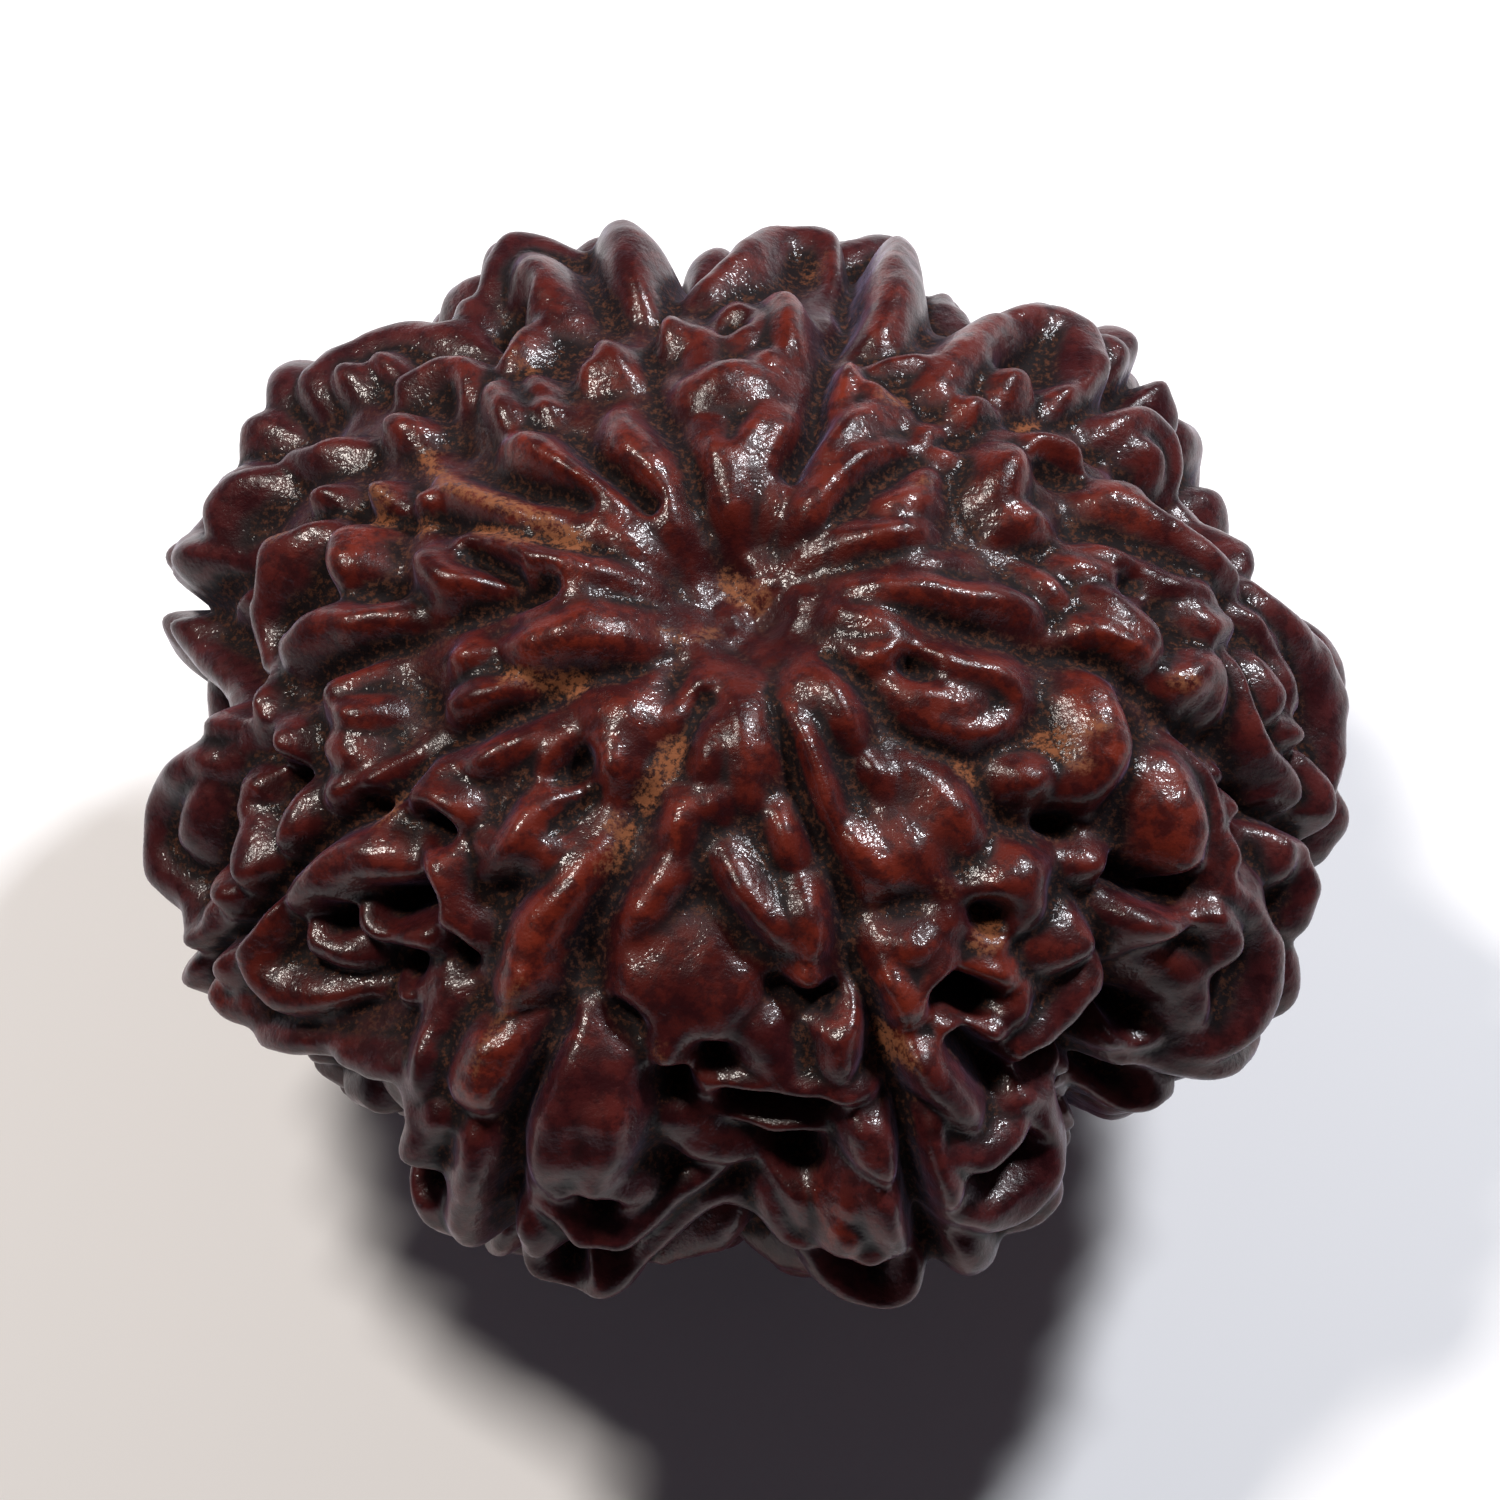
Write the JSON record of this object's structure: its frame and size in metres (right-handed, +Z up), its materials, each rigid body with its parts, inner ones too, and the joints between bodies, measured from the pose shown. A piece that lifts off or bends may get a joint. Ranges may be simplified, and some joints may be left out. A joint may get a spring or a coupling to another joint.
{
  "type": "rudraksha bead",
  "caption": "Dried rudraksha fruit stone with winding knobbly ridges, parted into faces by grooves from end to end, worn or counted as a bead.",
  "frame": {"origin": "middle of the bead's box, on the plane that it rests on", "axes": "+Z up along the bead's own axis, from its lower end to the upper one; +X to the right and +Y away from a viewer in front"},
  "size_m": [0.0254, 0.0254, 0.0165],
  "materials": {
    "shell": "oiled, glossy dark mahogany"
  },
  "bodies": {
    "root": {"bead": "shell"}
  },
  "joints": []
}
